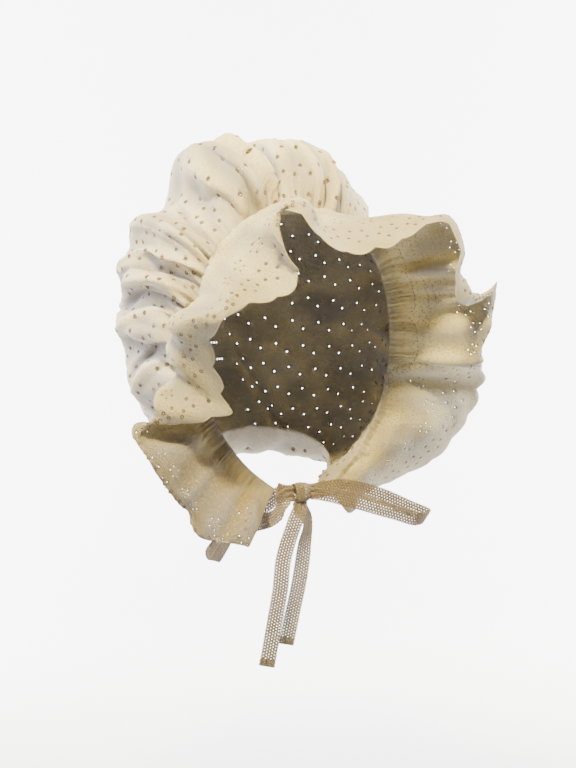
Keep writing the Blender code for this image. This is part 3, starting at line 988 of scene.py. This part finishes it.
def stitch_tree(name, make_stitch, **values):
    """A tree that sets one stitch on every point, turned to its out and along ways, in its size."""
    tree = bpy.data.node_groups.new(name, "GeometryNodeTree")
    tree.interface.new_socket("Geometry", in_out="INPUT", socket_type="NodeSocketGeometry")
    tree.interface.new_socket("Geometry", in_out="OUTPUT", socket_type="NodeSocketGeometry")
    inputs = {}
    for label, value in values.items():
        kind = "NodeSocketInt" if isinstance(value, int) else "NodeSocketFloat"
        socket = tree.interface.new_socket(label, in_out="INPUT", socket_type=kind)
        socket.default_value = value
        inputs[label] = socket.identifier
    socket = tree.interface.new_socket("thread", in_out="INPUT", socket_type="NodeSocketMaterial")
    inputs["thread"] = socket.identifier
    start = add(tree, "NodeGroupInput")
    kind = "GeometryNodeInputNamedAttribute"
    out, along, size = [
        add(tree, kind, {"Name": label}, data_type="FLOAT_VECTOR").outputs["Attribute"]
        for label in ("out", "along", "size")
    ]
    points = add(tree, "GeometryNodeMeshToPoints", {"Mesh": start.outputs["Geometry"]})
    turned = add(
        tree, "FunctionNodeAxesToRotation", {0: out, 1: along},
        primary_axis="Z", secondary_axis="X",
    )
    spread = add(tree, "GeometryNodeInstanceOnPoints", {
        "Points": points.outputs["Points"],
        "Instance": make_stitch(tree, start),
        "Rotation": turned.outputs["Rotation"],
        "Scale": size,
    })
    real = add(tree, "GeometryNodeRealizeInstances", {"Geometry": spread.outputs["Instances"]})
    finish = add(tree, "GeometryNodeSetMaterial", {
        "Geometry": real.outputs["Geometry"],
        "Material": start.outputs["thread"],
    })
    add(tree, "NodeGroupOutput", {"Geometry": finish.outputs["Geometry"]})
    return Stitch(tree, inputs, values)


def rim_stitch(tree, start):
    """A ring of thread, of radius 1, whose cross section keeps its own size."""
    ring = add(tree, "GeometryNodeCurvePrimitiveCircle", {"Resolution": start.outputs["sides"]})
    cord = add(tree, "GeometryNodeCurvePrimitiveCircle", {
        "Resolution": start.outputs["cord_sides"],
        "Radius": start.outputs["cord_radius"],
    })
    swept = add(tree, "GeometryNodeCurveToMesh", {
        "Curve": ring.outputs["Curve"],
        "Profile Curve": cord.outputs["Curve"],
    })
    return swept.outputs["Mesh"]


def satin_stitch(tree, start):
    """A grain of satin stitch: a low round pad of radius 1, stretched by each point's size."""
    sizes = {"Segments": start.outputs["sides"], "Rings": start.outputs["rings"]}
    return add(tree, "GeometryNodeMeshUVSphere", sizes).outputs["Mesh"]


def ways_at(lay, flat, reach=0.5):
    """The way out of the cloth at flat points, and the ways that its x and its y run."""
    across = unit(lay(flat + (reach, 0)) - lay(flat - (reach, 0)))
    down = unit(lay(flat + (0, reach)) - lay(flat - (0, reach)))
    return unit(np.cross(across, down)), across, down


def stitches(name, stitch, lay, spots, angles, sizes, finish):
    """One plain mesh of a stitch at flat spots of a cloth, each with its angle and half sizes."""
    out, across, down = ways_at(lay, spots)
    along = across * np.cos(angles)[:, None] + down * np.sin(angles)[:, None]
    mesh = bpy.data.meshes.new(name)
    mesh.from_pydata((lay(spots) * MM).tolist(), [], [])
    for label, data in (("out", out), ("along", along), ("size", sizes * MM)):
        attribute = mesh.attributes.new(label, "FLOAT_VECTOR", "POINT")
        attribute.data.foreach_set("vector", data.astype(np.float32).ravel())
    carrier = put_in(name + "_points", mesh)
    modifier = carrier.modifiers.new("Stitches", "NODES")
    modifier.node_group = stitch.tree
    for label, value in stitch.values.items():
        modifier[stitch.inputs[label]] = value
    modifier[stitch.inputs["thread"]] = finish
    carrier.update_tag()
    seen = carrier.evaluated_get(bpy.context.evaluated_depsgraph_get())
    plain = bpy.data.meshes.new_from_object(seen)
    plain.name = name
    plain.shade_smooth()
    carrier.modifiers.clear()
    bpy.data.objects.remove(carrier, do_unlink=True)
    return put_in(name, plain)


def rims(name, lay, spots, radius, finish):
    """A stitched rim round each eyelet of that radius."""
    sizes = np.full((len(spots), 3), radius * RIM_REACH)
    return stitches(name, rim_tree, lay, spots, np.zeros(len(spots)), sizes, finish)


def grains(name, lay, places, finish):
    """Satin stitch at flat places: their spots, angles and half sizes."""
    return stitches(name, satin_tree, lay, *places, finish)


# A spray of grains: how far they lie from its centre, how many they are, the half sizes of each,
# and the angle of the first
Spray = namedtuple("Spray", "radius number length width height start")


def sprays(centres, spray):
    """Grains set round each centre, pointing out of it."""
    angles = math.radians(spray.start) + np.arange(spray.number) * 2 * math.pi / spray.number
    spots = (centres[:, None] + around(angles) * spray.radius).reshape(-1, 2)
    sizes = np.tile((spray.length, spray.width, spray.height), (len(spots), 1))
    return spots, np.tile(angles, len(centres)), sizes


def joined(sets):
    """The spots, angles and sizes of several sets of grains."""
    return [np.concatenate(parts) for parts in zip(*sets)]


# Crown

CROWN_OUTLINE_POINTS = 760
EYELET_FROM_MOUTH = 9
LEAF_PLACE = (-5.5, 5.0)
LEAVES = Spray(1.8, 3, 1.7, 0.7, 0.45, 40)
STEM_PLACE = (-2.6, 2.6)
STEM = Spray(0, 1, 1.4, 0.4, 0.35, 135)
FLOWERS_FROM_SHARE = 0.03


def crown_depth(points):
    """How far flat points lie inside the crown's mouth."""
    turn = np.degrees(np.arctan2(points[:, 0], points[:, 1]))
    return crown_reach(turn) - np.hypot(points[:, 0], points[:, 1])


def crown_eyelets():
    """Staggered pairs of eyelets over the crown's round of cloth, clear of its mouth."""
    count = int(2 * CROWN_LENGTH.max() / EYELET_ROWS) + 2
    first = np.array([
        ((i + 0.5 * (j % 2)) * EYELET_SPACING, j * EYELET_ROWS)
        for j in range(-count, count + 1)
        for i in range(-count, count + 1)
    ])
    spots = np.concatenate([first, first + EYELET_TWIN])
    return spots[crown_depth(spots) > EYELET_FROM_MOUTH]


def make_crown(spots, finish):
    turns = np.linspace(-180, 180, CROWN_OUTLINE_POINTS, endpoint=False)
    reach = crown_reach(turns)
    angle = np.radians(turns)
    outline = np.stack([np.sin(angle) * reach, np.cos(angle) * reach], axis=-1)
    holes = holes_at(spots, EYELET_RADIUS)
    flat, faces = flat_cloth(outline, holes, crown_depth, CROWN_PITCH)
    return cloth("crown_cloth", flat, faces, lay_crown, finish, CROWN_CLOTH, crown_tones)


def crown_flowers(eyelets):
    """A small spray of leaves and its stem beside each of the crown's eyelets."""
    sets = (sprays(eyelets + LEAF_PLACE, LEAVES), sprays(eyelets + STEM_PLACE, STEM))
    spots, angles, sizes = joined(sets)
    _, share = crown_polar(spots)
    keep = share > FLOWERS_FROM_SHARE
    return spots[keep], angles[keep], sizes[keep]


# Ruffle

RUFFLE_OUTLINE_PITCH = 1.6
RUFFLE_END_POINTS = 36
FLOWER_SPRAYS = (
    Spray(3.4, 5, 2.2, 0.9, 0.5, 126),
    Spray(0, 1, 0.9, 0.9, 0.55, 0),
    Spray(12.2, 10, 1.5, 0.75, 0.45, 108),
)
SPRIG_SPRAYS = (
    Spray(2.6, 5, 1.6, 0.7, 0.45, 54),
    Spray(9.4, 5, 1.4, 0.65, 0.45, 54),
)
VINE_MIDDLE = 25
VINE_SWING = 9
VINE_STITCH = 2.1
VINE_GRAIN = (1.35, 0.5, 0.45)
VINE_FROM_END = 6
VINE_KNOT = Spray(0, 1, 0.8, 0.8, 0.55, 0)
# The leaves in the vines' eyes, between them and the seam, and beyond them: how far from the seam
VINE_LEAVES = {
    VINE_MIDDLE: Spray(4.5, 5, 1.8, 0.8, 0.5, 90),
    VINE_MIDDLE - 14: Spray(4.5, 3, 1.8, 0.8, 0.5, 270),
    VINE_MIDDLE + 15: Spray(4.5, 3, 1.8, 0.8, 0.5, 90),
}
EDGE_STITCH = 0.95
EDGE_GRAIN = (1.0, 0.48, 0.42)
EDGE_INSET = 0.75
EDGE_FROM_ENDS = (0.6, 0.5)


def scallop_centres(along, from_edge):
    return np.column_stack([along, ruffle_width(along) - from_edge])


def ruffle_motifs():
    """Places of the ruffle's flowers and sprigs, one of each for a scallop, and their five holes."""
    star = around(np.radians(90 + 72 * np.arange(5)))
    flowers = scallop_centres((np.arange(SCALLOPS) + 0.5) * SCALLOP_STEP, FLOWER_FROM_EDGE)
    sprigs = scallop_centres((np.arange(SCALLOPS - 1) + 1) * SCALLOP_STEP, SPRIG_FROM_EDGE)
    flower_holes = (flowers[:, None] + star * FLOWER_RADIUS).reshape(-1, 2)
    sprig_holes = (sprigs[:, None] - star * SPRIG_RADIUS).reshape(-1, 2)
    return flowers, sprigs, flower_holes, sprig_holes


def ruffle_depth(points):
    """How far flat points lie inside the ruffle's outline."""
    from_ends = np.minimum(points[:, 0], RUFFLE_LENGTH - points[:, 0])
    from_edge = edge_of_ruffle(points[:, 0]) - points[:, 1]
    return np.minimum(np.minimum(from_ends, from_edge), points[:, 1])


def make_ruffle(holes, finish):
    count = round(RUFFLE_LENGTH / RUFFLE_OUTLINE_PITCH)
    along = np.linspace(0, RUFFLE_LENGTH, count)
    side = np.linspace(0, RUFFLE_END_WIDTH - SCALLOP_DEPTH, RUFFLE_END_POINTS)[1:-1]
    outline = strip_outline(along, np.zeros(count), edge_of_ruffle(along), side)
    flat, faces = flat_cloth(outline, holes, ruffle_depth, RUFFLE_PITCH)
    return cloth("ruffle_cloth", flat, faces, lay_ruffle, finish, RUFFLE_CLOTH, ruffle_tones)


def ruffle_petals(flowers, sprigs):
    sets = [sprays(flowers, spray) for spray in FLOWER_SPRAYS]
    sets += [sprays(sprigs, spray) for spray in SPRIG_SPRAYS]
    return joined(sets)


def ruffle_vines():
    """Two crossing vines of stem stitch near the seam, with leaves and knots in their eyes."""
    along = np.arange(VINE_FROM_END, RUFFLE_LENGTH - VINE_FROM_END, VINE_STITCH)
    sets = []
    for side in (-1, 1):
        swing = side * VINE_SWING * np.sin(2 * math.pi * along / SCALLOP_STEP)
        slope = np.gradient(swing, along)
        sizes = np.tile(VINE_GRAIN, (len(along), 1))
        sets.append((np.column_stack([along, VINE_MIDDLE + swing]), np.arctan(slope), sizes))
    eyes = (np.arange(2 * SCALLOPS - 1) + 0.5) * SCALLOP_STEP / 2
    for from_seam, leaves in VINE_LEAVES.items():
        centres = np.column_stack([eyes, np.full(len(eyes), float(from_seam))])
        sets += [sprays(centres, leaves), sprays(centres, VINE_KNOT)]
    return joined(sets)


def edge_stitches():
    """Close stitches across the scalloped edge."""
    along = np.arange(EDGE_FROM_ENDS[0], RUFFLE_LENGTH - EDGE_FROM_ENDS[1], EDGE_STITCH)
    edge = edge_of_ruffle(along)
    slope = np.gradient(edge, along)
    spots = np.column_stack([along, edge - EDGE_INSET])
    sizes = np.tile(EDGE_GRAIN, (len(along), 1))
    return spots, np.arctan2(np.ones(len(along)), -slope), sizes


# Lace

LACE_STEP = 3.0
NET_STEP = 2.5
NET_HOLE = 0.45
NET_ROWS = (-4.6, -2.3, 0, 2.3, 4.6)
EDGE_ROW = 6.05
EDGE_HOLE = 0.36
PICOT_DEPTH = 0.8
LACE_SIDES = 8
LACE_OUTLINE_PITCH = 0.55
LACE_END_POINTS = 13

# How the drawn ribbon pleats by the knot, how a ribbon waves, and how its hem lies behind it
PLEAT_WIDTH = 5.2
PLEAT_DEPTH = 0.7
SAG = 0.25
SAG_ALONG = 9.0
SAG_ACROSS = 5.0
HEM_BEHIND = 1.3

# How far the knot is drawn in at its sides, its creases, and how square its turn is
KNOT_DRAWN = 0.16
KNOT_CREASE = 0.045
KNOT_CREASE_TURN = 1.9
KNOT_CREASE_SLANT = 0.8
KNOT_SQUARE = 0.8
KNOT_EASE = 1.05
KNOT_TURN = 2 * math.pi * math.sqrt((KNOT_HALF_DEPTH**2 + KNOT_HALF_HEIGHT**2) / 2) * KNOT_EASE


def lace_holes(length):
    """Staggered rows of net holes along a ribbon, and small holes behind the picots."""
    spots = []
    for number, row in enumerate(NET_ROWS):
        start = NET_STEP * (1 + 0.5 * (number % 2))
        spots += [(x, row, NET_HOLE) for x in np.arange(start, length - NET_STEP / 2, NET_STEP)]
    for row in (-EDGE_ROW, EDGE_ROW):
        places = np.arange(LACE_STEP * 1.5, length - LACE_STEP, LACE_STEP)
        spots += [(x, row, EDGE_HOLE) for x in places]
    return np.array(spots)


def lace_edge(along):
    return RIBBON_WIDTH / 2 - PICOT_DEPTH * (1 - np.abs(np.sin(math.pi * along / LACE_STEP)))


def lace_strip(name, length, lay, finish):
    """A strip of lace of that flat length, x along it and y across, laid in its place."""
    along = np.linspace(0, length, round(length / LACE_OUTLINE_PITCH))
    side = np.linspace(-1, 1, LACE_END_POINTS)[1:-1] * (RIBBON_WIDTH / 2 - PICOT_DEPTH)
    outline = strip_outline(along, -lace_edge(along), lace_edge(along), side)

    def depth(points):
        from_ends = np.minimum(points[:, 0], length - points[:, 0])
        return np.minimum(from_ends, lace_edge(points[:, 0]) - np.abs(points[:, 1]))

    flat, faces = flat_cloth(outline, lace_holes(length), depth, RIBBON_PITCH, LACE_SIDES)
    return cloth(name, flat, faces, lay, finish, RIBBON_CLOTH)


def ribbon(name, route, knot_at, finish, hem):
    """A lace ribbon along its route, drawn narrower by the knot, and hemmed at a free end."""
    points = np.array([lay[:3] for lay in route], float)
    across = unit(np.array([lay[3:] for lay in route], float))
    walked = along_of(points)
    at = np.linspace(0, walked[-1], round(walked[-1]) + 1)
    places = smooth(np.column_stack([walked, points, across]), at)
    middle, side = places[:, :3], places[:, 3:]
    way = unit(np.gradient(middle, axis=0))
    side = unit(side - way * (side * way).sum(axis=-1, keepdims=True))
    face = np.cross(way, side)
    real = along_of(middle)
    length = real[-1]

    def lay(flat):
        x, y = flat[:, 0], flat[:, 1]
        over = np.maximum(x - length, 0)
        bend = np.clip(over / HEM_BEND, 0, math.pi / 2)
        back = np.minimum(x, length) - np.maximum(over - HEM_BEND * math.pi / 2, 0)
        here = [np.interp(back, real, part) for part in (*middle.T, *side.T, *face.T)]
        centre, edge, out = (np.stack(here[k:k + 3], axis=-1) for k in (0, 3, 6))
        from_knot = np.full(len(x), length)
        if "start" in knot_at:
            from_knot = np.minimum(from_knot, x)
        if "end" in knot_at:
            from_knot = np.minimum(from_knot, length - x)
        drawn = 1 - ease(0, PINCH_LENGTH, from_knot)
        width = 1 - drawn * (1 - PINCHED_WIDTH / RIBBON_WIDTH)
        pleat = np.cos(y * 2 * math.pi / PLEAT_WIDTH) * PLEAT_DEPTH * drawn
        sag = np.sin(x / SAG_ALONG + y / SAG_ACROSS) * SAG
        behind = -HEM_BEND * np.sin(bend) * (over > 0) * HEM_BEHIND
        place = centre + edge * (y * width)[:, None]
        return place + out * (pleat + sag + behind)[:, None]

    total = length + (HEM_LENGTH + HEM_BEND * math.pi / 2 if hem else 0)
    return lace_strip(name, total, lay, finish), length + (HEM_LENGTH if hem else 0)


def lay_knot(flat):
    """The knot's turn of ribbon: round its middle, drawn in at its sides, with creases round it."""
    angle = flat[:, 0] / KNOT_TURN * 2 * math.pi
    drawn = 1 - KNOT_DRAWN * (flat[:, 1] / (RIBBON_WIDTH / 2)) ** 2
    slant = np.sin(angle) * KNOT_CREASE_SLANT
    crease = 1 + KNOT_CREASE * np.sin(flat[:, 1] * KNOT_CREASE_TURN + slant)
    y, z = [np.sign(part) * np.abs(part) ** KNOT_SQUARE for part in (np.cos(angle), np.sin(angle))]
    aside = flat[:, 1] * KNOT_WIDTH / RIBBON_WIDTH
    y, z = y * KNOT_HALF_DEPTH * drawn * crease, z * KNOT_HALF_HEIGHT * drawn * crease
    return np.array(KNOT_CENTRE, float) + np.stack([aside, y, z], axis=-1)


# Light, floor and camera

CAMERA_AZIMUTH = -25
CAMERA_ELEVATION = 4
CAMERA_DISTANCE = 1.5
CAMERA_TARGET = Vector((0.0093, 0.0382, -0.1462))
CAMERA_SENSOR = 36
FOCAL_PIXELS = 1725
PICTURE_HEIGHT = 768
CAMERA_TURN = Matrix.Rotation(math.radians(CAMERA_AZIMUTH), 3, "Z")
FLOOR_HEIGHT = -0.62
FLOOR_REACH = 6
WALL_DISTANCE = 2.6
SWEEP_RADIUS = 1.2
SWEEP_STEPS = 17


def area_light(name, place, target, size, power, colour, spread=180):
    data = bpy.data.lights.new(name, "AREA")
    data.spread = math.radians(spread)
    data.shape = "DISK"
    data.size = size
    data.energy = power
    data.color = colour
    way = Vector(target) - Vector(place)
    turn = way.to_track_quat("-Z", "Y").to_matrix().to_4x4()
    put_in(name, data).matrix_world = Matrix.Translation(place) @ turn


def place_camera():
    azimuth, elevation = math.radians(CAMERA_AZIMUTH), math.radians(CAMERA_ELEVATION)
    back = Vector((
        math.sin(azimuth) * math.cos(elevation),
        -math.cos(azimuth) * math.cos(elevation),
        math.sin(elevation),
    ))
    data = bpy.data.cameras.new("camera")
    data.sensor_width = CAMERA_SENSOR
    data.lens = CAMERA_SENSOR * FOCAL_PIXELS / PICTURE_HEIGHT
    camera = put_in("camera", data)
    turn = back.to_track_quat("Z", "Y").to_matrix().to_4x4()
    camera.matrix_world = Matrix.Translation(CAMERA_TARGET + back * CAMERA_DISTANCE) @ turn
    bpy.context.scene.camera = camera


def make_floor():
    """A pale floor that sweeps up to a wall behind the bonnet, as the camera sees it."""
    made, tree = new_material("pale_paper")
    shader = add(tree, "ShaderNodeBsdfPrincipled", {"Base Color": PAPER, "Roughness": 0.95})
    add(tree, "ShaderNodeOutputMaterial", {"Surface": shader.outputs["BSDF"]})
    sweep_start = WALL_DISTANCE - SWEEP_RADIUS
    profile = [(-FLOOR_REACH, FLOOR_HEIGHT)]
    for angle in np.linspace(0, math.pi / 2, SWEEP_STEPS):
        rise = SWEEP_RADIUS * (1 - math.cos(angle))
        profile.append((sweep_start + SWEEP_RADIUS * math.sin(angle), FLOOR_HEIGHT + rise))
    profile.append((WALL_DISTANCE, FLOOR_HEIGHT + FLOOR_REACH))
    sides = (-FLOOR_REACH, FLOOR_REACH)
    points = [CAMERA_TURN @ Vector((x, y, z)) for x in sides for y, z in profile]
    count = len(profile)
    faces = [(i, i + 1, count + i + 1, count + i) for i in range(count - 1)]
    mesh = bpy.data.meshes.new("floor")
    mesh.from_pydata([tuple(p) for p in points], [], faces)
    mesh.shade_smooth()
    mesh.materials.append(made)
    put_in("floor", mesh)


def light_scene():
    """A warm key from the camera's left, cool soft light all round, and lamps for the wall alone."""
    world = bpy.data.worlds.new("studio")
    world.use_nodes = True
    background = world.node_tree.nodes["Background"]
    background.inputs["Color"].default_value = (0.85, 0.84, 1.0, 1)
    background.inputs["Strength"].default_value = 0.30
    bpy.context.scene.world = world
    area_light(
        "key", place=(-0.55, -0.8, 1.05), target=(0, 0.02, 0.02),
        size=0.3, power=4.3, colour=(1.0, 0.83, 0.38), spread=34,
    )
    area_light(
        "fill", place=(-1.4, -0.6, 1.5), target=(0, 0.02, -0.1),
        size=1.0, power=24, colour=(0.82, 0.82, 1.0),
    )
    for side in (-1, 1):
        lamp = CAMERA_TURN @ Vector((side * 1.5, 0.75, 0.5))
        wall = CAMERA_TURN @ Vector((side * 0.35, WALL_DISTANCE, -0.25))
        area_light(f"wall_{side}", lamp, wall, size=0.8, power=430, colour=(1.0, 1.0, 1.0))


# Assembly

place_camera()
light_scene()
make_floor()

crown_cotton = cotton("crown_cotton", IVORY, IVORY_SHADE, 0.5, 0.06, 0.35)
ruffle_cotton = cotton("ruffle_cotton", CREAM, CREAM_SHADE, 0.5, 0.18, 0.35)
# the lace's colour carries painted shade
lace_cotton_and_shade = cotton("lace_cotton_and_shade", LACE_AND_SHADE, LACE_AND_SHADE_DARK, 0.35, 0.1, 0.6, with_tones=False)
cream_thread = thread("cream_thread", (0.66, 0.56, 0.36, 1), (0.60, 0.48, 0.26, 1))
straw_thread = thread("straw_thread", (0.46, 0.37, 0.22, 1), (0.40, 0.31, 0.17, 1))
# Dark brown rim thread: painted shade that makes the eyelets read dark, standing for the dark seen
# through their holes
eyelet_shade_thread = thread("eyelet_shade_thread", (0.25, 0.18, 0.10, 1), (0.19, 0.13, 0.07, 1))
rim_tree = stitch_tree("eyelet_rim", rim_stitch, sides=12, cord_sides=5, cord_radius=0.46)
satin_tree = stitch_tree("satin_grain", satin_stitch, sides=6, rings=4)

eyelets = crown_eyelets()
crown = make_crown(eyelets, crown_cotton)
crown_rims = rims("crown_eyelet_rims", lay_crown, eyelets, EYELET_RADIUS, eyelet_shade_thread)
flowers, sprigs, flower_holes, sprig_holes = ruffle_motifs()
holes = np.concatenate([holes_at(flower_holes, FLOWER_HOLE), holes_at(sprig_holes, SPRIG_HOLE)])
ruffle = make_ruffle(holes, ruffle_cotton)
ruffle_trim = [
    rims("ruffle_flower_rims", lay_ruffle, flower_holes, FLOWER_HOLE, eyelet_shade_thread),
    rims("ruffle_sprig_rims", lay_ruffle, sprig_holes, SPRIG_HOLE, eyelet_shade_thread),
]
crown_petals = grains("crown_flowers", lay_crown, crown_flowers(eyelets), cream_thread)
crown_trim = [crown_rims, crown_petals]
ruffle_trim += [
    grains("ruffle_flowers", lay_ruffle, ruffle_petals(flowers, sprigs), straw_thread),
    grains("ruffle_vines", lay_ruffle, ruffle_vines(), straw_thread),
    grains("scalloped_edging", lay_ruffle, edge_stitches(), cream_thread),
]

# Each ribbon: its piece and node, its route, where the knot holds it, whether it has a hem, and
# how it is held
laces = [
    (*ribbon("lace_" + name, route, knot_at, lace_cotton_and_shade, hem), node, held)
    for name, node, route, knot_at, hem, held in (
        ("tie_right", "tie_right", TIE_RIGHT, ("end",), False, "stretched"),
        ("tie_left", "tie_left", TIE_LEFT, ("end",), False, "stretched"),
        ("loop_left", "bow_loop_left", LOOP_LEFT, ("start", "end"), False, "folded"),
        ("loop_right", "bow_loop_right", LOOP_RIGHT, ("start", "end"), False, "folded"),
        ("tail_front", "tail_front", TAIL_FRONT, ("start",), True, "hung"),
        ("tail_back", "tail_back", TAIL_BACK, ("start",), True, "hung"),
    )
]
knot = lace_strip("lace_knot", KNOT_TURN, lay_knot, lace_cotton_and_shade)
laces.append((knot, KNOT_TURN, "bow_knot", "folded"))

for piece, node, slot in (
    (crown, "crown", "crown_cotton"),
    (ruffle, "ruffle", "ruffle_cotton"),
    *((piece, node, "lace") for piece, _, node, _ in laces),
):
    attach(piece, "root")
    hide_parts(node)
for trim, slot in ((crown_trim, "crown_cotton"), (ruffle_trim, "ruffle_cotton")):
    for piece in trim:
        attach(piece, "root")
